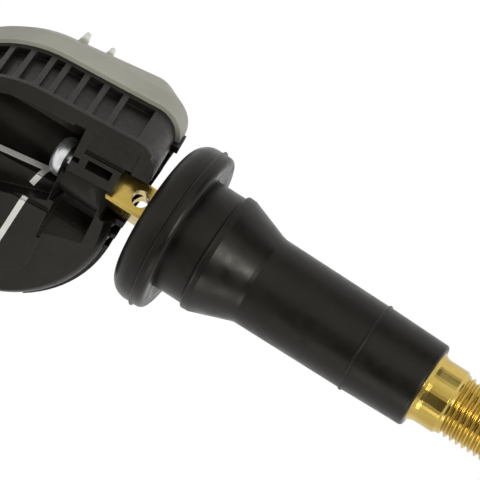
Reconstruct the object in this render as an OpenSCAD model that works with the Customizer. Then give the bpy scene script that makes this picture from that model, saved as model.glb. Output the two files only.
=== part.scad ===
// Snap-in tyre pressure sensor: rubber valve on a brass stem, screwed to a round plastic sensor.
// The valve axis is Z, with the tip at +Z. Z = 0 is the face of the flange that seals against
// the wheel. The sensor hangs below the flange and leans a little, with its pale cover towards
// +Y and its screwdriver channel open towards -Y.

/* [Rubber valve] */
// Radius of the sealing flange
flange_r = 10.0; // [9:0.1:12]
// Thickness of the sealing flange
flange_h = 4.7; // [3.6:0.1:6]
// Rounding of the flange on the sensor side
flange_round = 2.4; // [1.5:0.1:3]
// Height of the fine mould line that stands out of the flange
mould_line = 0.3; // [0.1:0.05:0.5]
// Radius of the neck that sits in the wheel's hole
neck_r = 7.0; // [6:0.1:7.2]
// Length of the neck, from the flange to the bulge
neck_h = 3.45; // [2.5:0.05:5]
// Radius of the bulge that snaps in behind the wheel
bulge_r = 7.4; // [7.3:0.1:8.5]
// Length of the cone from the bulge to the tube
cone_h = 5.2; // [4:0.1:8]
// Radius of the rubber tube where the cone ends
tube_base_r = 5.55; // [4.9:0.05:5.8]
// Radius of the rubber tube at its tip
tube_tip_r = 5.25; // [4.8:0.05:5.5]
// Distance from the flange to the end of the rubber
rubber_top = 32; // [28:0.5:40]
// Distance of the raised ring below the end of the rubber
ring_back = 8.1; // [5:0.1:12]
// Height of the raised ring
ring_out = 0.25; // [0.1:0.05:0.5]

/* [Brass stem] */
// Radius of the brass where the rubber is bonded to it
insert_r = 3.2; // [3.05:0.05:3.5]
// Radius of the plain collar that stands out of the rubber
collar_r = 4.0; // [3.9:0.05:4.3]
// Length of the plain collar
collar_h = 3.6; // [2:0.1:6]
// Outer radius of the valve thread
thread_r = 3.75; // [3.6:0.05:3.8]
// Length of the threaded tip
thread_h = 7.0; // [6.6:0.1:9]
// Radius of the air passage
air_r = 1.0; // [0.8:0.05:1.1]
// Side of the square end that fits the sensor
square_w = 4.1; // [3.9:0.05:4.3]
// Length of the square end below the flange
square_h = 9.9; // [9:0.1:10.4]
// Radius of the air hole across the square end
cross_r = 1.03; // [0.8:0.01:1.15]
// Distance of the air hole below the flange
cross_down = 1.9; // [1.7:0.05:2.2]

/* [Valve core] */
// Radius of the chamber for the valve core
chamber_r = 2.3; // [2.2:0.05:2.5]
// Depth of the core's top below the tip
core_down = 0.9; // [0.5:0.1:1.4]
// Length of the core's barrel
barrel_h = 8.0; // [7.6:0.1:8.2]
// Radius of the core's pin
pin_r = 0.55; // [0.45:0.05:0.6]
// Travel of the pin when it is pressed
pin_travel = 1.0; // [0.6:0.1:1.2]
// Radius of the spring's wire
spring_wire_r = 0.16; // [0.12:0.01:0.18]
// Number of turns in the spring
spring_turns = 6; // [4:1:7]

/* [Sensor housing] */
// Angle between the valve and the plane of the sensor
tilt = 8.5; // [6:0.5:10]
// Room between the coin cell and the wall around it
cell_gap = 1.9; // [1.7:0.1:3]
// Distance of the round body's centre from the valve axis, sideways
round_x = 5.9; // [5.7:0.1:7]
// Gap between the flange and the end wall of the sensor
wall_gap = 2.1; // [2:0.1:4]
// Slant of the end wall, from the corner to the round body
wall_slant = 1.4; // [0.6:0.1:2]
// Radius of the corner beside the valve
corner_r = 3.3; // [3.1:0.1:4]
// Distance of that corner's centre from the valve axis, sideways
corner_x = 4.8; // [4.4:0.1:5]
// Depth of the housing below the valve axis
floor_down = 4.1; // [4:0.1:5]
// Height of the housing's rim above the valve axis
rim_up = 5.9; // [5.8:0.1:8]
// Rounding of the belly's lower edge
belly_round = 2.6; // [1.5:0.1:3]
// Thickness of the plastic walls
wall = 1.2; // [1:0.1:1.3]
// Depth of the panels between the ribs
panel_deep = 0.9; // [0.5:0.1:1.1]
// Width of a rib
rib_w = 0.7; // [0.5:0.1:1]
// Distance from rib to rib
rib_pitch = 2.5; // [2:0.1:3.5]
// Thickness of the ledge under the ribs
ledge_h = 0.7; // [0.5:0.1:1]
// Distance that the ledge stands out of the ribs
ledge_out = 0.35; // [0.2:0.05:0.6]
// Radius of the screwdriver channel
channel_r = 2.8; // [2.7:0.1:2.9]
// Play between the square end and its socket
socket_play = 0.05; // [0.02:0.01:0.1]

/* [Cover] */
// Distance that the cover stands out over the ribs
cover_out = 0.6; // [0.4:0.1:1]
// Height of the cover's upright side
cover_side = 3.6; // [3:0.1:4.5]
// Height of the cover's slope above its side
cover_slope = 3.2; // [2.6:0.1:4]
// Distance that the slope leans in on the round side
cover_lean = 1.4; // [1:0.1:2.4]
// Distance that the slope leans in towards the end wall
cover_nose = 1.8; // [1:0.1:4]
// Thickness of the cover
cover_wall = 1.1; // [0.8:0.1:1.3]
// Height of the moulded nubs on the cover
nub_h = 2.9; // [1.5:0.1:3.5]

/* [Screw] */
// Radius of the screw's head
head_r = 2.45; // [2.2:0.05:2.6]
// Height of the screw's head
head_h = 1.8; // [1.5:0.1:2.2]
// Radius of the screw's shank
shank_r = 1.2; // [1.1:0.05:1.3]
// Length of the screw's shank
shank_h = 6.2; // [5:0.1:6.4]

/* [Electronics] */
// Radius of the coin cell
cell_r = 10; // [9:0.1:10.4]
// Thickness of the coin cell
cell_h = 3.2; // [2.5:0.1:3.6]
// Thickness of the circuit board
board_h = 1.0; // [0.8:0.1:1.2]
// Thickness of the battery tabs
tab_h = 0.25; // [0.2:0.05:0.3]

/* [Hidden] */

$fn = 96;
eps = 0.05;
fit = 0.02;

// Levels along the valve axis
flange_back = -flange_h;
bulge_z = neck_h + 0.15;
cone_z = neck_h + 1.1;
tube_z = cone_z + cone_h;
ring_z = rubber_top - ring_back;
collar_top = rubber_top + collar_h;
tip_z = collar_top + thread_h;
square_end = flange_back - square_h;
cross_z = flange_back - cross_down;
end_wall_z = flange_back - wall_gap;
notch_deep = 2.8;
socket_z = end_wall_z - notch_deep;
seat_wall = 1.7;
seat_z = square_end - eps - seat_wall;
head_back = seat_z - head_h;

// Plan of the housing: a round body and a corner beside the valve, in X and Z
wall_in = panel_deep + wall;
round_r = cell_r + cell_gap + wall_in;
corner_at = [-corner_x, end_wall_z - corner_r];
round_at = [round_x, end_wall_z - wall_slant - round_r];
rear_z = round_at[1] - round_r;
belly_from = -1;
shelf_x = channel_r + 3.1;
shelf_y = -1.6;

// Levels across the valve axis
floor_y = -floor_down;
belly_y = floor_y + 0.5;
room_low = belly_y + wall;
deck_y = channel_r + 0.2;
cavity_y = deck_y + wall;
board_y = cavity_y + 1.0;
board_top = board_y + board_h;
cell_y = board_top + tab_h + 0.05;
cell_top = cell_y + cell_h;
cover_mid_y = rim_up + cover_side;
cover_top_y = cover_mid_y + cover_slope;

// Widths and heights of the small electronics
tab_w = 4;
chip_w = 6;
chip_h = 2.4;
coil_l = 6.8;
coil_w = 2;

// Levels in the valve core
core_top = tip_z - core_down;
barrel_low = core_top - barrel_h;
shoulder_h = 1.0;
spring_low = barrel_low + shoulder_h;
collar_low = core_top - 1.4;
washer_h = 0.8;
pin_foot_h = 0.45;
pin_low = barrel_low - washer_h - eps - pin_foot_h;
chamber_low = pin_low - pin_travel - 0.3;
spring_room_r = 1.55;
spring_r = 1.2;

// Points of an arc, from angle a to angle b
function arc(c, r, a, b, n) = [for (i = [0 : n]) let(t = a + (b - a) * i / n) c + r * [cos(t), sin(t)]];

// Outline of two circles and the belt around them, the first one being the larger
function belt(c1, r1, c2, r2) =
    let(d = c2 - c1, middle = atan2(d[1], d[0]), spread = acos((r1 - r2) / norm(d)))
    concat(arc(c2, r2, middle - spread, middle + spread, 12),
        arc(c1, r1, middle + spread, middle - spread + 360, 64));

// Plan of the housing, moved outwards by grow
module plan(grow = 0) {
    polygon(belt(round_at, round_r + grow, corner_at, corner_r + grow));
}

// Lifts a drawing in X and Z into a plate from y0 to y1
module plate(y0, y1) {
    translate([0, y1, 0]) rotate([90, 0, 0]) linear_extrude(y1 - y0) children();
}

// Leans the sensor about the seat of its screw
module leaning() {
    translate([0, 0, seat_z]) rotate([-tilt, 0, 0]) translate([0, 0, -seat_z]) children();
}

// A box given by its lowest and highest corners
module span(lo, hi) {
    translate(lo) cube(hi - lo);
}

// An upright round bar at x and z, from y0 to y1, which may narrow to r1
module post(at, y0, y1, r0, r1) {
    translate([at[0], y0, at[1]]) rotate([-90, 0, 0]) cylinder(h = y1 - y0, r1 = r0, r2 = r1);
}

module rubber_stem() {
    lip_round = 0.7;
    end_round = 0.4;
    undercut = 0.35;
    line_z = -1.4;
    line_w = 0.2;
    bore = insert_r + fit;
    color([0.09, 0.09, 0.09]) rotate_extrude() polygon(concat(
        [[bore, flange_back]],
        arc([flange_r - flange_round, flange_back + flange_round], flange_round, -90, 0, 12),
        [[flange_r, line_z - line_w], [flange_r + mould_line, line_z], [flange_r, line_z + line_w]],
        arc([flange_r - lip_round, -lip_round], lip_round, 0, 90, 6),
        [[neck_r + 1, 0], [neck_r, -undercut], [neck_r, neck_h]],
        arc([bulge_r - 0.35, bulge_z + 0.2], 0.35, -60, 20, 5),
        [[bulge_r - 0.05, cone_z], [tube_base_r + 0.12, tube_z - 0.5], [tube_base_r, tube_z]],
        arc([tube_tip_r + 0.1, ring_z], ring_out, -75, 75, 6),
        arc([tube_tip_r - end_round, rubber_top - end_round], end_round, 0, 90, 5),
        [[collar_r + 0.45, rubber_top], [bore, rubber_top - 1.2]]));
}

module brass_stem() {
    flare_h = 0.9;
    flare_r = collar_r + 0.43 - fit;
    tip_cut = 0.45;
    color([0.78, 0.62, 0.24]) difference() {
        union() {
            rotate_extrude() polygon([
                [0, flange_back], [insert_r, flange_back], [insert_r, rubber_top - 1.2],
                [flare_r, rubber_top], [collar_r + 0.1, rubber_top + 0.5 * flare_h],
                [collar_r, rubber_top + flare_h], [collar_r, collar_top - 0.3],
                [thread_r, collar_top], [thread_r, tip_z - tip_cut],
                [thread_r - tip_cut, tip_z], [0, tip_z]]);
            translate([0, 0, square_end]) square_bar(square_w, flange_back - square_end + eps);
        }
        translate([0, 0, square_end - eps]) cylinder(h = shank_h - seat_wall + 0.3, r = shank_r + fit);
        translate([0, 0, square_end]) cylinder(h = chamber_low - square_end + eps, r = air_r);
        translate([0, 0, chamber_low]) cylinder(h = tip_z - chamber_low + eps, r = chamber_r);
        translate([0, 0, cross_z]) rotate([0, 0, 45]) rotate([0, 90, 0])
            cylinder(h = 2 * square_w, r = cross_r, center = true);
    }
}

// A square bar that stands on an edge, with its long corners cut
module square_bar(w, h) {
    cut = 0.3;
    rotate([0, 0, 45]) linear_extrude(h) polygon([for (k = [0 : 3], s = [-1, 1])
        let(a = 90 * k, p = [w / 2, s * (w / 2 - cut)])
        [p[0] * cos(a) - p[1] * sin(a), p[0] * sin(a) + p[1] * cos(a)]]);
}

module core_barrel() {
    color([0.72, 0.62, 0.36]) difference() {
        translate([0, 0, barrel_low]) union() {
            cylinder(h = 3.2, r = chamber_r - 0.35);
            translate([0, 0, 3.2 - eps]) cylinder(h = barrel_h - 3.2 + eps, r = chamber_r - fit);
        }
        translate([0, 0, barrel_low - eps]) cylinder(h = barrel_h, r = pin_r + 0.25);
        translate([0, 0, spring_low]) cylinder(h = barrel_h, r = spring_room_r);
        for (side = [-1, 1]) translate([side * chamber_r, 0, core_top])
            cube([1.4, 1.2, 2.4], center = true);
    }
}

module core_gasket() {
    color([0.85, 0.25, 0.15]) translate([0, 0, barrel_low + 1]) difference() {
        cylinder(h = 1.5, r = chamber_r - fit);
        translate([0, 0, -eps]) cylinder(h = 2, r = chamber_r - 0.35 + fit);
    }
}

module core_pin() {
    pin_out = 0.5;
    color([0.80, 0.72, 0.48]) union() {
        translate([0, 0, pin_low]) cylinder(h = core_top + pin_out - pin_low, r = pin_r);
        translate([0, 0, collar_low]) cylinder(h = 0.5, r = spring_room_r - 0.1);
        translate([0, 0, pin_low]) cylinder(h = pin_foot_h, r = 1.3);
    }
}

module core_washer() {
    color([0.12, 0.12, 0.13]) translate([0, 0, barrel_low - washer_h - eps]) difference() {
        cylinder(h = washer_h, r = 1.6);
        translate([0, 0, -eps]) cylinder(h = washer_h + 2 * eps, r = pin_r + fit);
    }
}

// A round wire wound into a helix
module core_spring() {
    sides = 6;
    steps = 16 * spring_turns;
    low = spring_low + spring_wire_r + fit;
    high = collar_low - spring_wire_r - fit;
    rings = [for (i = [0 : steps]) let(a = 360 * spring_turns * i / steps, z = low + (high - low) * i / steps)
        for (j = [0 : sides - 1]) let(t = 360 * j / sides, r = spring_r + spring_wire_r * cos(t))
            [r * cos(a), r * sin(a), z + spring_wire_r * sin(t)]];
    quads = [for (i = [0 : steps - 1], j = [0 : sides - 1]) let(k = (j + 1) % sides)
        [i * sides + j, i * sides + k, (i + 1) * sides + k, (i + 1) * sides + j]];
    first = [for (j = [sides - 1 : -1 : 0]) j];
    last = [for (j = [0 : sides - 1]) steps * sides + j];
    color([0.75, 0.76, 0.78]) polyhedron(points = rings, faces = concat([first], quads, [last]));
}

module sensor_screw() {
    edge = 1.1;
    drive_r = 0.95;
    drive_h = 1.1;
    color([0.80, 0.81, 0.82]) difference() {
        union() {
            rotate_extrude() polygon(concat(
                [[0, seat_z], [head_r - 0.1, seat_z], [head_r, seat_z - 0.1], [head_r, head_back + edge + 0.25]],
                arc([head_r - edge, head_back + edge + 0.1], edge, 0, -70, 6),
                [[drive_r + 0.3, head_back], [0, head_back]]));
            translate([0, 0, seat_z - eps]) cylinder(h = shank_h + eps, r = shank_r);
        }
        translate([0, 0, head_back - eps]) {
            cylinder(h = drive_h + eps, r = drive_r);
            for (k = [0 : 5]) rotate([0, 0, 60 * k]) translate([drive_r, 0, 0])
                cylinder(h = drive_h + eps, r = 0.32);
        }
    }
}

// Ribs that stand around the housing, from the end wall round to the far side
module ribs(y0, y1) {
    first_z = corner_at[1] - 3.6;
    count = floor((first_z - round_at[1]) / rib_pitch);
    for (k = [0 : count]) span(
        [-corner_x - corner_r - 2, y0, first_z - k * rib_pitch - rib_w],
        [-corner_x - corner_r + 3, y1, first_z - k * rib_pitch]);
    step = rib_pitch / round_r * 180 / PI;
    turn = asin((first_z - (count + 1) * rib_pitch - round_at[1] + rib_w / 2) / round_r);
    for (a = [180 - turn : step : 405]) translate([round_at[0], 0, round_at[1]]) rotate([0, -a, 0])
        span([round_r - 3, y0, -rib_w / 2], [round_r + 2, y1, rib_w / 2]);
}

// Cut that rounds the lower edge of the belly on the far side
module belly_cut() {
    inset = 0.05;
    middle = [round_r - belly_round + inset, floor_y + belly_round - inset];
    intersection() {
        translate([round_at[0], 0, round_at[1]]) rotate([-90, 0, 0]) rotate_extrude() polygon(concat(
            arc(middle, belly_round, -90, 0, 8),
            [[round_r + 2, middle[1]], [round_r + 2, floor_y - 1], [middle[0], floor_y - 1]]));
        span([belly_from, floor_y - 2, rear_z - 3], [40, rim_up, end_wall_z + 1]);
    }
}

// The space between the ribs
module panels() {
    top = rim_up - 0.8;
    low = floor_y + ledge_h;
    difference() {
        plate(low, top) difference() {
            plan(3);
            plan(-panel_deep);
        }
        ribs(low - 1, top + 1);
        // The corner beside the valve has no panels, nor has the end wall
        span([-40, low - 1, corner_at[1] - 0.2], [corner_at[0] + 1, top + 1, 5]);
        span([corner_at[0], low - 1, end_wall_z - 2], [40, top + 1, 5]);
        // On the far side the panels stop above the rounded belly
        span([belly_from - 0.5, low - 1, rear_z - 5], [40, floor_y + belly_round + 0.4, 5]);
    }
}

// The ledge under the ribs
module ledge() {
    intersection() {
        plate(floor_y, floor_y + ledge_h) plan(ledge_out);
        span([-40, floor_y - 1, rear_z - 1], [belly_from, 0, end_wall_z - 1.2]);
    }
}

module housing() {
    color([0.10, 0.10, 0.10]) difference() {
        union() {
            leaning() difference() {
                union() {
                    plate(floor_y, rim_up) plan();
                    ledge();
                    end_plate();
                    latch();
                }
                belly_cut();
                belly_step();
                panels();
                rooms();
                pocket();
                block_details();
            }
            channel_wall();
            leaning() for (p = board_posts) post(p, cavity_y - eps, board_y, 1.1, 1.1);
        }
        valve_cuts();
    }
}

// The end wall stands out as far as the cover beside the valve
module end_plate() {
    intersection() {
        plate(floor_y + belly_round, rim_up) plan(cover_out - 0.1);
        span([-corner_x + 1.4, floor_y, round_at[1] + 8], [40, rim_up, 5]);
    }
}

// A small latch that holds the cover's end
module latch() {
    latch_w = 0.8;
    latch_h = 0.3;
    latch_x = corner_at[0] - 0.5;
    face_z = end_wall_z + cover_out;
    span([latch_x, rim_up - 1, end_wall_z - 1], [latch_x + latch_w, rim_up, face_z + latch_h]);
    span([latch_x, rim_up - eps, face_z + fit], [latch_x + latch_w, rim_up + 2.4, face_z + latch_h]);
}

// The belly lies a little higher around the raised panel for the label
module belly_step() {
    round = 3;
    lo = [shelf_x - 0.6, rear_z - 5];
    hi = [round_x + 9, seat_z + 1.2];
    difference() {
        plate(floor_y - 1, belly_y) translate([channel_r, rear_z - 5]) square([40, 40]);
        plate(floor_y - 2, belly_y + 1) union() {
            translate(lo) square([hi[0] - lo[0], hi[1] - lo[1] - round]);
            translate(lo) square([hi[0] - lo[0] - round, hi[1] - lo[1]]);
            translate([hi[0] - round, hi[1] - round]) circle(round + 0.02);
        }
    }
}

// Room for the board, and the deeper room beside the channel
module rooms() {
    deep_x = shelf_x + 0.6;
    plate(cavity_y, rim_up + 1) plan(-wall_in);
    intersection() {
        plate(room_low, cavity_y + 1) plan(-wall_in - 0.6);
        span([deep_x, floor_y, rear_z], [40, rim_up, seat_z + 0.5]);
    }
}

// Pocket beside the channel, and the shelf on its other side
module pocket() {
    pocket_y = deck_y - 1.2;
    intersection() {
        plate(floor_y - 1, pocket_y) plan(-wall_in + 0.5);
        span([-40, floor_y - 1, round_at[1] - 7], [0, pocket_y, seat_z + 0.4]);
    }
    plate(floor_y - 1, shelf_y) polygon([[0, seat_z], [shelf_x - 1.7, seat_z], [shelf_x, round_at[1]],
        [shelf_x, rear_z - 1], [0, rear_z - 1]]);
}

// Hollows in the block that holds the valve, and small pockets in the end wall
module block_details() {
    bar_z = seat_z + 1.4;
    inner_x = -corner_x - corner_r + 1.1;
    // Plates on both sides of the bar that runs from the ledge to the block
    span([inner_x, floor_y - 1, seat_z - 1], [-3.9, floor_y + 0.5, bar_z - 1]);
    span([inner_x, floor_y - 1, bar_z], [-3.9, floor_y + 0.5, corner_at[1] + 1]);
    // Slot and gap beside the valve
    span([-3.4, floor_y - 1, seat_z + 2.2], [-2.2, floor_y + 2.4, end_wall_z - 4.2]);
    span([-3.0, floor_y - 1, seat_z - 1], [-2.3, floor_y + 1.6, seat_z + 1.3]);
    for (k = [0, 1]) span(
        [channel_r + 1.1 + 1.8 * k, floor_y + 1.6, end_wall_z - 2.4],
        [channel_r + 2.3 + 1.8 * k, floor_y + 5, 0]);
    post(port_at, floor_y - 1, room_low + 0.5, 0.75, 0.75);
}

// The wall around the screwdriver channel, which rises into the board's room at the rear
module channel_wall() {
    intersection() {
        translate([0, 0, rear_z - 3]) cylinder(h = seat_z - rear_z, r = channel_r + 0.9);
        leaning() plate(cavity_y - 1, rim_up) plan(-0.6);
    }
}

// What follows the valve axis: the channel, the screw's hole, the socket and the notch
module valve_cuts() {
    sock = square_w + 2 * socket_play;
    notch_l = square_w / 2 * sqrt(2) + 1.4;
    tube_r = 3.5;
    roof = 0.5;
    intersection() {
        translate([0, 0, rear_z - 6]) linear_extrude(seat_z - rear_z + 6) polygon(concat(
            arc([0, 0], channel_r, 0, 180, 24), [[-channel_r, -20], [channel_r, -20]]));
        leaning() span([-20, -40, rear_z - 20], [20, rim_up - roof, 20]);
    }
    translate([0, 0, seat_z + seat_wall]) square_bar(sock, 12);
    translate([0, 0, seat_z - 1]) cylinder(h = 4, r = shank_r + 0.15);
    span([-notch_l, -20, socket_z], [channel_r + 0.3, channel_r + 0.1, 3]);
    // Hollow beside the socket's round wall, with a slope that comes up to the belly
    difference() {
        union() {
            span([-1, -20, seat_z + 0.6], [tube_r + 0.4, 0.3, socket_z - 0.6]);
            translate([0, 0, seat_z + 1.25]) linear_extrude(socket_z - 0.6 - seat_z - 1.25)
                polygon(concat([[-1, -20], [-1, 0.3], [tube_r + 1.6, 0.3]],
                    arc([tube_r + 6.4, 0.9], 4.6, 195, 255, 8), [[tube_r + 7.4, -20]]));
        }
        translate([0, 0, seat_z - 1]) cylinder(h = 12, r = tube_r);
    }
}

port_at = [round_x + 0.72 * cell_r, round_at[1] + 1];
board_posts = [[corner_at[0] + 0.6, corner_at[1] - 0.4], [round_x + 0.4 * cell_r, round_at[1] + 0.96 * cell_r],
    [round_x + 0.2 * cell_r, round_at[1] - 1.06 * cell_r], [round_x - 1.05 * cell_r, round_at[1] + 0.2 * cell_r]];

// The cover's outside, moved outwards by grow
module cover_shape(grow, y0, top) {
    nose = [corner_at[0], corner_at[1] - cover_nose];
    plate(y0, cover_mid_y) plan(cover_out + grow);
    hull() {
        plate(cover_mid_y - 0.02, cover_mid_y) plan(cover_out + grow);
        plate(top - 0.02, top) polygon(belt(round_at, round_r + cover_out - cover_lean + grow, nose, corner_r + grow));
    }
}

module cover() {
    color([0.78, 0.78, 0.72]) leaning() {
        difference() {
            cover_shape(0, rim_up, cover_top_y);
            cover_shape(-cover_out - wall_in + 0.6, rim_up - 1, cover_top_y - cover_wall);
        }
        for (p = nubs) post([p[0], p[1]], cover_top_y - 0.9, cover_top_y + nub_h * p[3], p[2], p[2] * 0.45);
    }
}

// Nubs on the cover: x, z, radius and share of the full height
nubs = [[-7, round_at[1] + 0.4, 0.8, 1], [-7.1, round_at[1] + 3.8, 0.7, 0.8], [-5.6, round_at[1] - 3.2, 1.6, 0.3]];

module battery() {
    rim = 0.4;
    color([0.80, 0.80, 0.80]) leaning() {
        post(round_at, cell_y, cell_y + 0.5, cell_r - 0.9, cell_r - 0.9);
        post(round_at, cell_y + 0.5 - eps, cell_top - rim, cell_r, cell_r);
        post(round_at, cell_top - rim - eps, cell_top, cell_r, cell_r - rim);
    }
}

module battery_tab_lower() {
    color([0.75, 0.75, 0.72]) leaning() span(
        [round_x - cell_r / 2, board_top + fit, round_at[1] - tab_w / 2],
        [round_x + cell_r / 2, board_top + fit + tab_h, round_at[1] + tab_w / 2]);
}

module battery_tab_upper() {
    low_z = round_at[1] - tab_w / 2;
    reach = round_x + cell_r + 0.6;
    color([0.75, 0.75, 0.72]) leaning() {
        span([round_x - 0.4 * cell_r, cell_top + fit, low_z], [reach + tab_h, cell_top + fit + tab_h, low_z + tab_w]);
        span([reach, board_top + fit, low_z], [reach + tab_h, cell_top + 0.1, low_z + tab_w]);
    }
}

module circuit_board() {
    color([0.10, 0.36, 0.18]) difference() {
        leaning() plate(board_y + 0.02, board_top) plan(-wall_in - 0.3);
        // Room for the wall of the channel
        translate([0, 0, rear_z - 6]) cylinder(h = seat_z - rear_z + 3, r = channel_r + 1.2);
    }
}

module pressure_chip() {
    color([0.15, 0.15, 0.16]) leaning() difference() {
        span([port_at[0] - chip_w / 2, board_y - chip_h, port_at[1] - chip_w / 2],
            [port_at[0] + chip_w / 2, board_y, port_at[1] + chip_w / 2]);
        post(port_at, board_y - chip_h - 1, board_y - chip_h + 0.6, 0.8, 0.8);
    }
}

module port_seal() {
    color([0.55, 0.20, 0.15]) leaning() difference() {
        post(port_at, room_low + fit, board_y - chip_h - fit, 1.9, 1.9);
        post(port_at, room_low - 1, board_y, 0.8, 0.8);
    }
}

coil_at = [round_x + 0.46 * cell_r, round_at[1] - 0.64 * cell_r];

module wake_coil_core() {
    top = board_y;
    color([0.22, 0.22, 0.24]) leaning() {
        span([coil_at[0] - coil_l / 2, top - 1.9, coil_at[1] - coil_w / 2],
            [coil_at[0] + coil_l / 2, top - 0.5, coil_at[1] + coil_w / 2]);
        for (side = [-1, 1]) translate([side * (coil_l / 2 - 0.3), 0, 0])
            span([coil_at[0] - 0.5, top - 2.4, coil_at[1] - 1.4], [coil_at[0] + 0.5, top, coil_at[1] + 1.4]);
    }
}

module wake_coil_winding() {
    top = board_y;
    color([0.72, 0.42, 0.22]) leaning() difference() {
        span([coil_at[0] - coil_l / 2 + 0.9, top - 2.2, coil_at[1] - coil_w / 2 - 0.3],
            [coil_at[0] + coil_l / 2 - 0.9, top - 0.2, coil_at[1] + coil_w / 2 + 0.3]);
        span([coil_at[0] - coil_l, top - 1.9 - fit, coil_at[1] - coil_w / 2 - fit],
            [coil_at[0] + coil_l, top - 0.5 + fit, coil_at[1] + coil_w / 2 + fit]);
    }
}

module crystal() {
    at = [round_x + 0.26 * cell_r, round_at[1] + 0.68 * cell_r];
    color([0.80, 0.80, 0.78]) leaning() span([at[0] - 1.6, board_y - 0.9, at[1] - 1.25],
        [at[0] + 1.6, board_y, at[1] + 1.25]);
}

module capacitors() {
    at = [round_x + 0.16 * cell_r, round_at[1] - 0.34 * cell_r];
    color([0.62, 0.50, 0.36]) leaning() for (k = [0 : 4])
        span([at[0], board_y - 0.6, at[1] + 1.6 * k], [at[0] + 1.6, board_y, at[1] + 1.6 * k + 0.8]);
}

// A flat strip of metal that stands on the board around the coin cell
module radio_antenna() {
    r = cell_r + cell_gap - 0.6;
    color([0.78, 0.66, 0.40]) leaning() intersection() {
        plate(board_top + 0.02, board_top + 2.6) translate(round_at) difference() {
            circle(r);
            circle(r - tab_h);
        }
        span([round_x - 0.3 * cell_r, 0, rear_z], [round_x + 0.9 * cell_r, 20, round_at[1] - 0.4 * cell_r]);
    }
}

rubber_stem();
brass_stem();
core_barrel();
core_gasket();
core_pin();
core_washer();
core_spring();
sensor_screw();
housing();
cover();
battery();
battery_tab_lower();
battery_tab_upper();
circuit_board();
pressure_chip();
port_seal();
wake_coil_core();
wake_coil_winding();
crystal();
capacitors();
radio_antenna();
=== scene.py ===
import math

import bmesh
import bpy
from mathutils import Matrix, Vector
from mathutils.bvhtree import BVHTree


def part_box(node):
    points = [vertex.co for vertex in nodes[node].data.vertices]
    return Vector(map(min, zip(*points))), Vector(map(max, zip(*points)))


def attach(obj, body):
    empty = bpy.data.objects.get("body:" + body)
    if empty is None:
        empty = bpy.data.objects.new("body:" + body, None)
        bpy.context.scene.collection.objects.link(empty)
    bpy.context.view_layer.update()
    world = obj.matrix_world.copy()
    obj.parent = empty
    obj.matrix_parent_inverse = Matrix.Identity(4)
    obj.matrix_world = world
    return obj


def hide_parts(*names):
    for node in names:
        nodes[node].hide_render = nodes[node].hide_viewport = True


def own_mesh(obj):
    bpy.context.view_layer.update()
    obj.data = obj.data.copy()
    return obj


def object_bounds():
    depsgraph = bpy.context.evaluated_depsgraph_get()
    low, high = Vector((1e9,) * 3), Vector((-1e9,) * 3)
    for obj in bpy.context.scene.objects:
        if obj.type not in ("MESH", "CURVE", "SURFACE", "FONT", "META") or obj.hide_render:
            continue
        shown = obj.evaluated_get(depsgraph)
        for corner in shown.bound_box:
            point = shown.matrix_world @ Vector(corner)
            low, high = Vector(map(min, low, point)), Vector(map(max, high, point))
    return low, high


MM = 0.001
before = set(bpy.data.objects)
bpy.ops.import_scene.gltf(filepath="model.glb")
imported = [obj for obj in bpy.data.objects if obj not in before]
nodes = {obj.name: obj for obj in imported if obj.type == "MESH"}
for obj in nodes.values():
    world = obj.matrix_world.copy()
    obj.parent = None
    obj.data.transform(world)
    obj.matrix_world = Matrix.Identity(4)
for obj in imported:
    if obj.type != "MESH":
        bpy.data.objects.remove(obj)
cad_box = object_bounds()

# Camera: the valve runs down to the right, and its tip leans a little towards the camera
TOWARDS_CAMERA = Vector((-0.496, -0.859, 0.129)).normalized()
SLOPE = math.radians(32.49)
PICTURE_WIDTH = 54.67
CAMERA_DISTANCE = 420.0
SENSOR_WIDTH = 36.0
ANCHOR = Vector((0, 0, -1.4))
ANCHOR_TO_MIDDLE = (6.59, 2.67)

# The valve's brass tip, with a thread whose crests and roots are rounded
COLLAR_TOP = 35.6
THREAD_R = 3.75
THREAD_DEEP = 0.44
THREAD_PITCH = 0.794
THREAD_START = 0.1
THREAD_RUN_IN = 0.5
THREAD_AROUND = 144
THREAD_STEPS = 190
TIP_Z = 42.6
TIP_CUT = 0.45
CHAMBER_R = 2.3
CHAMBER_FLOOR = 35.0
MOUTH_CUT = 0.25

# The valve core's spring
SPRING_WIRE_R = 0.16
SPRING_TURNS = 6
SPRING_STEPS_A_TURN = 28
SPRING_AROUND = 12

# The sensor leans about the seat of its screw
LEAN = math.radians(8.5)
SEAT_Z = -16.35
BELLY_Y = -4.1
SHELF_Y = -1.6
COVER_TOP_Y = 12.7
NUB_H = 1.2
# Painted light shining through the thin nubs, paler towards their tips
NUB_LIGHT_TONE = (0.80, 0.79, 0.72)

# The pale frame's print: width, and how far it stands out of the housing and reaches into it
FRAME_STROKE = 0.72
PRINT_PROUD = 0.03
PRINT_SUNK = 0.02

# How a stroke is laid: step along it, spots across it, the drop in the housing that cuts it,
# and how far above it the rays start and how far they reach
PRINT_STEP = 0.15
PRINT_ACROSS = (-1.0, -0.33, 0.33, 1.0)
PRINT_JUMP = 0.45
RAY_LIFT = 4.0
RAY_REACH = 40.0

# Its strokes: surface, and both ends in X and Z
FRAME_STROKES = [
    (SHELF_Y, (2.5, -29.0), (1.55, -17.8)),
    (SHELF_Y, (1.3, -18.1), (4.3, -18.9)),
    (BELLY_Y, (4.7, -18.75), (11.9, -19.45)),
    (BELLY_Y, (11.5, -19.1), (12.4, -28.3)),
    (BELLY_Y, (12.7, -27.9), (6.4, -28.5)),
]

# Shares of a noise, which stays near its middle, where tones and roughness begin and end
TONE_STOPS = (0.32, 0.68)
ROUGH_STOPS = (0.3, 0.7)

# The roughness varies in coarser grain than the bump by this factor
ROUGH_GRAIN = 0.4

# How far the normal has turned where the painted edge highlight starts, and where it is full
EDGE_TURN = (0.99, 0.80)

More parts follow.
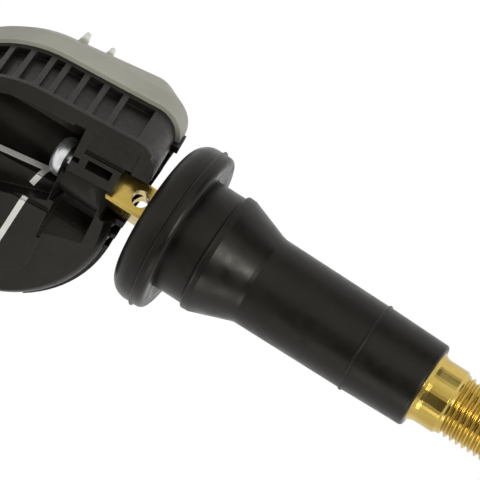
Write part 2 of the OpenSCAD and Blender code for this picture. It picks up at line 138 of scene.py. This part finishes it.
WHITE = (1.0, 1.0, 1.0, 1.0)
WARM = (1.0, 0.95, 0.84, 1.0)

# The floor's half width in metres, its gap to the sensor, its grey, and how white it looks
FLOOR_HALF = 4.0
FLOOR_GAP = 0.2
FLOOR_GREY = 0.86
FLOOR_WHITE = 0.94
BACKDROP_STRENGTH = 1.03
WORLD_STRENGTH = 0.52


# Materials

def fresh_material(name):
    made = bpy.data.materials.new(name)
    made.use_nodes = True
    return made, made.node_tree.nodes, made.node_tree.links


def noise(tree, coords, scale, detail, stretch=None):
    """Noise in metres of the object's own space, stretched along an axis if asked."""
    texture = tree.nodes.new("ShaderNodeTexNoise")
    texture.inputs["Scale"].default_value = scale
    texture.inputs["Detail"].default_value = detail
    source = coords
    if stretch:
        mapping = tree.nodes.new("ShaderNodeMapping")
        mapping.inputs["Scale"].default_value = stretch
        tree.links.new(coords, mapping.inputs["Vector"])
        source = mapping.outputs["Vector"]
    tree.links.new(source, texture.inputs["Vector"])
    return texture.outputs["Fac"]


def rescale(tree, value, source, target=(0.0, 1.0)):
    """Turns the range source of a value into the range target."""
    made = tree.nodes.new("ShaderNodeMapRange")
    made.inputs["From Min"].default_value, made.inputs["From Max"].default_value = source
    made.inputs["To Min"].default_value, made.inputs["To Max"].default_value = target
    tree.links.new(value, made.inputs["Value"])
    return made.outputs["Result"]


def dot(tree, vector):
    """A dot product with the first vector linked, and its second left to set."""
    made = tree.nodes.new("ShaderNodeVectorMath")
    made.operation = "DOT_PRODUCT"
    tree.links.new(vector, made.inputs[0])
    return made


def blend_tone(tree, share, base, tone, target):
    """Mixes a plain tone into a base colour by share, and sends the result to target."""
    made = tree.nodes.new("ShaderNodeMixRGB")
    made.inputs["Color2"].default_value = (*tone, 1)
    tree.links.new(share, made.inputs["Fac"])
    tree.links.new(base, made.inputs["Color1"])
    tree.links.new(made.outputs["Color"], target)


def paint_edge_highlights(tree, soft_edge, tones, shader, edge_highlight_tone):
    """Paints a highlight on the edges: a lighter tone where the rounded normal turns off the true
    one.
    """
    turned = dot(tree, soft_edge.outputs["Normal"])
    tree.links.new(tree.nodes.new("ShaderNodeNewGeometry").outputs["Normal"], turned.inputs[1])
    edge = rescale(tree, turned.outputs["Value"], EDGE_TURN)
    blend_tone(tree, edge, tones.outputs["Color"], edge_highlight_tone, shader.inputs["Base Color"])


def finish_material(name, dark, light, rough, grain, patches=180.0, stretch=None, metallic=0.0,
                    bump=0.15, bump_mm=0.02, edge_mm=0.0, edge_highlight_tone=None, **sockets):
    """Two tones in soft patches, with roughness and a fine bump that follow their own grain."""
    made, parts, links = fresh_material(name)
    tree = made.node_tree
    shader = parts["Principled BSDF"]
    coords = parts.new("ShaderNodeTexCoord").outputs["Object"]
    tones = parts.new("ShaderNodeValToRGB")
    for stop, place, tone in zip(tones.color_ramp.elements, TONE_STOPS, (dark, light)):
        stop.position = place
        stop.color = (*tone, 1)
    links.new(noise(tree, coords, patches, 5.0, stretch), tones.inputs["Fac"])
    links.new(tones.outputs["Color"], shader.inputs["Base Color"])
    uneven = noise(tree, coords, grain * ROUGH_GRAIN, 4.0, stretch)
    links.new(rescale(tree, uneven, ROUGH_STOPS, rough), shader.inputs["Roughness"])
    relief = parts.new("ShaderNodeBump")
    relief.inputs["Strength"].default_value = bump
    relief.inputs["Distance"].default_value = bump_mm * MM
    links.new(noise(tree, coords, grain, 3.0, stretch), relief.inputs["Height"])
    links.new(relief.outputs["Normal"], shader.inputs["Normal"])
    if edge_mm:
        soft_edge = parts.new("ShaderNodeBevel")
        soft_edge.samples = 6
        soft_edge.inputs["Radius"].default_value = edge_mm * MM
        links.new(soft_edge.outputs["Normal"], relief.inputs["Normal"])
        # Painted highlight: the edges take a lighter tone where the rounded normal turns
        if edge_highlight_tone:
            paint_edge_highlights(tree, soft_edge, tones, shader, edge_highlight_tone)
    shader.inputs["Metallic"].default_value = metallic
    for socket, value in sockets.items():
        shader.inputs[socket.replace("_", " ")].default_value = value
    return made


RUBBER = finish_material("black_rubber", (0.0045, 0.0044, 0.0036), (0.0085, 0.0082, 0.0070),
                         (0.27, 0.42), 1500, bump=0.08,
                         Specular_IOR_Level=0.24, Specular_Tint=WARM)
# Its edge tone is a painted highlight on the black plastic's edges
PLASTIC = finish_material("black_plastic", (0.0065, 0.0060, 0.0047), (0.0130, 0.0120, 0.0096),
                          (0.28, 0.46), 5200, bump=0.30,
                          edge_mm=0.14, edge_highlight_tone=(0.045, 0.042, 0.036),
                          Specular_IOR_Level=0.18, Specular_Tint=WARM)
# Its edge tone is a painted highlight on the pale cover's edges
COVER = finish_material("pale_plastic", (0.29, 0.288, 0.232), (0.37, 0.363, 0.298), (0.40, 0.52),
                        2600, patches=90, bump=0.06, edge_mm=0.2, edge_highlight_tone=(0.50, 0.49, 0.42),
                        Subsurface_Weight=0.15, Subsurface_Scale=0.0015,
                        Subsurface_Radius=(1.0, 0.98, 0.90))
BRASS = finish_material("turned_brass", (0.42, 0.29, 0.060), (0.64, 0.47, 0.125), (0.15, 0.26),
                        2600, patches=420, stretch=(1, 1, 0.25), metallic=0.92, bump=0.10,
                        edge_mm=0.08)
CORE_BRASS = finish_material("core_brass", (0.55, 0.42, 0.18), (0.70, 0.56, 0.28), (0.25, 0.40),
                             2600, metallic=1.0, bump=0.10)
STEEL = finish_material("bright_screw", (0.66, 0.67, 0.67), (0.84, 0.85, 0.85), (0.26, 0.42),
                        2400, metallic=0.86, bump=0.12, edge_mm=0.12)
SPRING = finish_material("spring_wire", (0.50, 0.51, 0.53), (0.66, 0.67, 0.69), (0.22, 0.36),
                         3000, metallic=1.0, bump=0.08)
CELL = finish_material("cell_steel", (0.60, 0.60, 0.60), (0.72, 0.72, 0.72), (0.24, 0.38),
                       1800, metallic=1.0, bump=0.06)
NICKEL = finish_material("strip_nickel", (0.52, 0.51, 0.48), (0.64, 0.63, 0.60), (0.28, 0.42),
                         2200, metallic=1.0, bump=0.08)
BOARD = finish_material("board_green", (0.010, 0.090, 0.030), (0.018, 0.130, 0.048), (0.32, 0.46),
                        2000, bump=0.08)
CHIP = finish_material("chip_case", (0.018, 0.018, 0.020), (0.030, 0.030, 0.033), (0.40, 0.54),
                       3600, bump=0.15)
SEAL = finish_material("soft_seal", (0.260, 0.045, 0.030), (0.360, 0.070, 0.045), (0.50, 0.66),
                       2400, bump=0.10)
FERRITE = finish_material("ferrite", (0.030, 0.030, 0.034), (0.055, 0.055, 0.060), (0.46, 0.62),
                          3000, bump=0.20)
WINDING = finish_material("coil_wire", (0.36, 0.12, 0.035), (0.52, 0.20, 0.070), (0.26, 0.40),
                          4200, stretch=(6, 1, 1), metallic=0.6, bump=0.30)
CERAMIC = finish_material("ceramic", (0.30, 0.19, 0.095), (0.40, 0.27, 0.15), (0.44, 0.60),
                          3000, bump=0.12)
PRINT = finish_material("pale_print", (0.60, 0.59, 0.54), (0.72, 0.71, 0.66), (0.46, 0.62),
                        3800, bump=0.12)

FINISHES = {
    "rubber_stem": RUBBER, "brass_stem": BRASS, "core_barrel": CORE_BRASS, "core_gasket": SEAL,
    "core_pin": CORE_BRASS, "core_washer": RUBBER, "core_spring": SPRING, "sensor_screw": STEEL,
    "housing": PLASTIC, "cover": COVER, "battery": CELL, "battery_tab_lower": NICKEL,
    "battery_tab_upper": NICKEL, "circuit_board": BOARD, "pressure_chip": CHIP, "port_seal": SEAL,
    "wake_coil_core": FERRITE, "wake_coil_winding": WINDING, "crystal": NICKEL,
    "capacitors": CERAMIC, "radio_antenna": CORE_BRASS,
}


def paint_nub_light(material):
    """Paints the light that the thin nubs on the cover's top let through: they look paler towards
    their tips.
    """
    tree = material.node_tree
    base_color = tree.nodes["Principled BSDF"].inputs["Base Color"]
    cover_up = Vector((0, math.cos(LEAN), -math.sin(LEAN)))
    base = (COVER_TOP_Y + SEAT_Z * cover_up.z) * MM
    height = dot(tree, tree.nodes.new("ShaderNodeTexCoord").outputs["Object"])
    height.inputs[1].default_value = cover_up
    share = rescale(tree, height.outputs["Value"], (base + 0.1 * MM, base + NUB_H * MM))
    blend_tone(tree, share, base_color.links[0].from_socket, NUB_LIGHT_TONE, base_color)


def paint_nodes():
    """Gives each solid of the frame its finish."""
    for name, finish in FINISHES.items():
        slots = nodes[name].material_slots
        for place in slots:
            place.material = finish
        if not slots:
            nodes[name].data.materials.append(finish)


# Pieces

def add_object(name, data):
    made = bpy.data.objects.new(name, data)
    bpy.context.scene.collection.objects.link(made)
    return made


def finished_mesh(name, builder):
    mesh = bpy.data.meshes.new(name)
    builder.to_mesh(mesh)
    builder.free()
    return mesh


def piece(name, mesh, finish):
    """A piece of the sensor that stays with the valve."""
    mesh.materials.append(finish)
    made = add_object(name, mesh)
    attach(made, "sensor")
    return made


def join_rings(builder, rings, smooth):
    """Joins rings of corners, each ring as long as the next."""
    for low, high in zip(rings, rings[1:]):
        for i in range(len(low)):
            k = (i + 1) % len(low)
            builder.faces.new((low[i], low[k], high[k], high[i])).smooth = smooth


def thread_radius(z, turn):
    """Radius of the threaded tip at a height and at an angle counted in turns."""
    phase = ((z - COLLAR_TOP) / THREAD_PITCH - turn) % 1.0
    depth = THREAD_DEEP * (0.5 + 0.5 * math.cos(2 * math.pi * phase))
    run_in = min(1.0, max(0.0, (z - COLLAR_TOP - THREAD_START) / THREAD_RUN_IN))
    return min(THREAD_R - depth * run_in, THREAD_R - TIP_CUT + (TIP_Z - z))


def tip_ring(builder, z, radius_at):
    """Corners around the valve's axis, each as far out as radius_at says for its turn."""
    ring = []
    for i in range(THREAD_AROUND):
        angle = 2 * math.pi * i / THREAD_AROUND
        r = radius_at(i / THREAD_AROUND)
        spot = (r * math.cos(angle) * MM, r * math.sin(angle) * MM, z * MM)
        ring.append(builder.verts.new(spot))
    return ring


def build_brass():
    """The stem up to its collar from the solid part, and a helical thread above it."""
    builder = bmesh.new()
    builder.from_mesh(nodes["brass_stem"].data)
    everything = builder.verts[:] + builder.edges[:] + builder.faces[:]
    bmesh.ops.bisect_plane(builder, geom=everything, plane_co=(0, 0, COLLAR_TOP * MM - 1e-6),
                           plane_no=(0, 0, 1), clear_outer=True)
    for face in builder.faces:
        face.smooth = False
    thread = []
    for j in range(THREAD_STEPS + 1):
        z = COLLAR_TOP + (TIP_Z - COLLAR_TOP) * j / THREAD_STEPS
        thread.append(tip_ring(builder, z, lambda turn: thread_radius(z, turn)))
    join_rings(builder, thread, smooth=True)
    mouth = [thread[-1]]
    for r, z in ((CHAMBER_R + MOUTH_CUT, TIP_Z), (CHAMBER_R, TIP_Z - MOUTH_CUT),
                 (CHAMBER_R, CHAMBER_FLOOR)):
        mouth.append(tip_ring(builder, z, lambda turn: r))
    join_rings(builder, mouth, smooth=False)
    made = piece("stem_brass", finished_mesh("stem_brass", builder), BRASS)
    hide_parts("brass_stem")


def build_spring():
    """The valve core's spring as a round wire, coiled within the box of the solid spring."""
    lowest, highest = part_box("core_spring")
    wire_r = SPRING_WIRE_R * MM
    coil_r = (highest.x - lowest.x) / 2 - wire_r
    low, high = lowest.z + wire_r, highest.z - wire_r
    steps = SPRING_STEPS_A_TURN * SPRING_TURNS
    builder = bmesh.new()
    rings = []
    for i in range(steps + 1):
        turn = 2 * math.pi * SPRING_TURNS * i / steps
        z = low + (high - low) * i / steps
        ring = []
        for j in range(SPRING_AROUND):
            t = 2 * math.pi * j / SPRING_AROUND
            r = coil_r + wire_r * math.cos(t)
            spot = (r * math.cos(turn), r * math.sin(turn), z + wire_r * math.sin(t))
            ring.append(builder.verts.new(spot))
        rings.append(ring)
    join_rings(builder, rings, smooth=True)
    for end in (rings[0], rings[-1]):
        builder.faces.new(end).smooth = True
    bmesh.ops.recalc_face_normals(builder, faces=builder.faces)
    made = piece("spring_coil", finished_mesh("spring_coil", builder), SPRING)
    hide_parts("core_spring")
    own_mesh(made)


def leaning():
    """From the sensor's own upright place to where it leans."""
    seat = Vector((0, 0, SEAT_Z * MM))
    return Matrix.Translation(seat) @ Matrix.Rotation(-LEAN, 4, "X") @ Matrix.Translation(-seat)


def stroke_rows(skin, start, end, side):
    """Rows of spots along a stroke, each laid on the housing as it is seen from in front."""
    steps = max(8, round((end - start).length / (PRINT_STEP * MM)))
    rows = []
    for i in range(steps + 1):
        above = start.lerp(end, i / steps) + TOWARDS_CAMERA * RAY_LIFT * MM
        row = []
        for share in PRINT_ACROSS:
            spot, normal, _, _ = skin.ray_cast(above + side * share, -TOWARDS_CAMERA,
                                               RAY_REACH * MM)
            if spot:
                row.append((spot, normal))
        rows.append(row if len(row) == len(PRINT_ACROSS) else None)
    return rows


def close_by(first, second):
    """True where spots that are next to each other lie on one unbroken surface."""
    return all((p[0] - q[0]).length < PRINT_JUMP * MM for p, q in zip(first, second))


def split_rows(rows):
    """Cuts the rows wherever the surface under them drops away."""
    runs, run = [], []
    for row in rows:
        whole = row and close_by(row, row[1:])
        if whole and (not run or close_by(row, run[-1])):
            run.append(row)
        else:
            runs.append(run)
            run = [row] if whole else []
    runs.append(run)
    return [r for r in runs if len(r) > 2]


def print_run(builder, run):
    """A thin closed skin of print over one run of rows."""
    top, low = ([[builder.verts.new(spot + normal * offset * MM) for spot, normal in row]
                 for row in run] for offset in (PRINT_PROUD, -PRINT_SUNK))
    last = len(PRINT_ACROSS) - 1
    for i in range(len(run) - 1):
        for k in range(last):
            builder.faces.new((top[i][k], top[i][k + 1], top[i + 1][k + 1], top[i + 1][k]))
            builder.faces.new((low[i][k], low[i + 1][k], low[i + 1][k + 1], low[i][k + 1]))
        builder.faces.new((top[i][0], top[i + 1][0], low[i + 1][0], low[i][0]))
        builder.faces.new((top[i][last], low[i][last], low[i + 1][last], top[i + 1][last]))
    for i in (0, -1):
        for k in range(last):
            builder.faces.new((top[i][k], low[i][k], low[i][k + 1], top[i][k + 1]))


def build_print():
    """A plain pale frame, where such a sensor carries its printing."""
    housing = nodes["housing"].data
    skin = BVHTree.FromPolygons([v.co for v in housing.vertices],
                                [face.vertices for face in housing.polygons])
    facing = leaning().to_3x3() @ Vector((0, 1, 0))
    builder = bmesh.new()
    for y, a, b in FRAME_STROKES:
        start, end = (leaning() @ (Vector((x, y, z)) * MM) for x, z in (a, b))
        side = (end - start).cross(facing).normalized() * FRAME_STROKE / 2 * MM
        for run in split_rows(stroke_rows(skin, start, end, side)):
            print_run(builder, run)
    bmesh.ops.recalc_face_normals(builder, faces=builder.faces)
    made = piece("pale_frame", finished_mesh("pale_frame", builder), PRINT)


# Stage

def build_camera():
    """Sets the camera, and gives the directions and the spot that the stage is laid out by."""
    back = TOWARDS_CAMERA
    along = (Vector((0, 0, 1)) - back.z * back).normalized()
    across = back.cross(along)
    right = math.cos(SLOPE) * along + math.sin(SLOPE) * across
    up = -math.sin(SLOPE) * along + math.cos(SLOPE) * across
    middle = ANCHOR + ANCHOR_TO_MIDDLE[0] * along + ANCHOR_TO_MIDDLE[1] * across
    data = bpy.data.cameras.new("camera")
    data.sensor_width = SENSOR_WIDTH
    data.lens = SENSOR_WIDTH * CAMERA_DISTANCE / PICTURE_WIDTH
    data.clip_start = 0.01
    data.clip_end = 20.0
    camera = add_object("camera", data)
    turn = Matrix((right, up, back)).transposed().to_4x4()
    camera.matrix_world = Matrix.Translation((middle + CAMERA_DISTANCE * back) * MM) @ turn
    bpy.context.scene.camera = camera
    return right, up, back, along, across, middle * MM


def add_lamp(name, target, towards, distance, size, power):
    data = bpy.data.lights.new(name, "AREA")
    data.shape = "DISK"
    data.size = size
    data.energy = power
    lamp = add_object(name, data)
    lamp.location = target + towards.normalized() * distance
    lamp.rotation_mode = "QUATERNION"
    lamp.rotation_quaternion = (-towards).to_track_quat("-Z", "Y")


def add_card(name, target, towards, sideways, distance, half_width, half_length, grey):
    """A dark card out of sight, which the turned brass and the black rubber mirror."""
    away = towards.normalized()
    wide = (sideways - sideways.dot(away) * away).normalized()
    long_way = away.cross(wide)
    builder = bmesh.new()
    centre = target + away * distance
    corners = [centre + wide * (half_width * a) + long_way * (half_length * b)
               for a, b in ((-1, -1), (1, -1), (1, 1), (-1, 1))]
    builder.faces.new([builder.verts.new(corner) for corner in corners])
    made, parts, _ = fresh_material(name)
    parts["Principled BSDF"].inputs["Base Color"].default_value = (grey, grey, grey, 1)
    parts["Principled BSDF"].inputs["Roughness"].default_value = 0.8
    card = add_object(name, finished_mesh(name, builder))
    card.data.materials.append(made)
    card.visible_camera = False


def sum_node(tree, operation, first, second):
    """One sum of two sockets, or of a socket and a number."""
    made = tree.nodes.new("ShaderNodeMath")
    made.operation = operation
    tree.links.new(first, made.inputs[0])
    if isinstance(second, float):
        made.inputs[1].default_value = second
    else:
        tree.links.new(second, made.inputs[1])
    return made.outputs[0]


def white_for_eyes(tree, shader_output, strength, target):
    """Camera, glossy and transmission rays see plain white in place of the given share."""
    path = tree.nodes.new("ShaderNodeLightPath").outputs
    seen = sum_node(tree, "MAXIMUM", path["Is Camera Ray"], path["Is Glossy Ray"])
    seen = sum_node(tree, "MAXIMUM", seen, path["Is Transmission Ray"])
    white = tree.nodes.new("ShaderNodeEmission")
    white.inputs["Color"].default_value = WHITE
    white.inputs["Strength"].default_value = BACKDROP_STRENGTH
    mix = tree.nodes.new("ShaderNodeMixShader")
    tree.links.new(sum_node(tree, "MULTIPLY", seen, strength), mix.inputs["Fac"])
    tree.links.new(shader_output, mix.inputs[1])
    tree.links.new(white.outputs[0], mix.inputs[2])
    tree.links.new(mix.outputs[0], target)


def build_floor():
    """A white floor just under the sensor, which the eye can look through from below."""
    builder = bmesh.new()
    bmesh.ops.create_grid(builder, x_segments=8, y_segments=8, size=FLOOR_HALF)
    floor = add_object("floor", finished_mesh("floor", builder))
    floor.location = (0, 0, cad_box[0].z - FLOOR_GAP * MM)
    made, parts, links = fresh_material("floor_white")
    tree = made.node_tree
    shader = parts["Principled BSDF"]
    shader.inputs["Base Color"].default_value = (FLOOR_GREY, FLOOR_GREY, FLOOR_GREY, 1)
    shader.inputs["Roughness"].default_value = 0.9
    from_above = parts.new("ShaderNodeMixShader")
    white_for_eyes(tree, shader.outputs[0], FLOOR_WHITE, from_above.inputs[1])
    below = sum_node(tree, "MULTIPLY", parts.new("ShaderNodeNewGeometry").outputs["Backfacing"],
                     parts.new("ShaderNodeLightPath").outputs["Is Camera Ray"])
    links.new(below, from_above.inputs["Fac"])
    links.new(parts.new("ShaderNodeBsdfTransparent").outputs[0], from_above.inputs[2])
    links.new(from_above.outputs[0], parts["Material Output"].inputs["Surface"])
    floor.data.materials.append(made)


def build_world():
    world = bpy.data.worlds.new("studio")
    bpy.context.scene.world = world
    world.use_nodes = True
    parts = world.node_tree.nodes
    plain = parts["Background"]
    plain.inputs["Color"].default_value = WHITE
    plain.inputs["Strength"].default_value = WORLD_STRENGTH
    white_for_eyes(world.node_tree, plain.outputs[0], 1.0, parts["World Output"].inputs["Surface"])


def build_stage():
    """Camera, floor, world, three soft lamps and three dark cards."""
    right, up, back, along, across, middle = build_camera()
    build_floor()
    build_world()
    # Name, direction from the middle, distance, size and power
    for name, towards, distance, size, power in (
            ("key", back * 0.45 + up * 1.0 - right * 0.1, 0.5, 0.25, 2.7),
            ("low", back * 0.47 - across * 0.86 + along * 0.2, 0.5, 0.25, 0.55),
            ("fill", back * 1.0 - up * 0.3 + right * 0.5, 0.8, 0.30, 4.2)):
        add_lamp(name, middle, towards, distance, size, power)
    # Name, shift along the valve, direction, distance, half width, half length and grey
    for name, shift, towards, distance, half_width, half_length, grey in (
            ("card_low", 0.0, back * 0.879 - across * 0.477, 0.26, 0.112, 0.45, 0.02),
            ("card_tip", -0.22, back * 0.477 - across * 0.879, 0.26, 0.077, 0.21, 0.02),
            ("card_high", 0.0, back * 0.42 + across * 0.91, 0.65, 0.22, 0.65, 0.12)):
        add_card(name, middle + along * shift, towards, across, distance, half_width,
                 half_length, grey)


bpy.context.scene.view_settings.view_transform = "Standard"
build_stage()
paint_nub_light(COVER)
paint_nodes()
build_brass()
build_spring()
build_print()
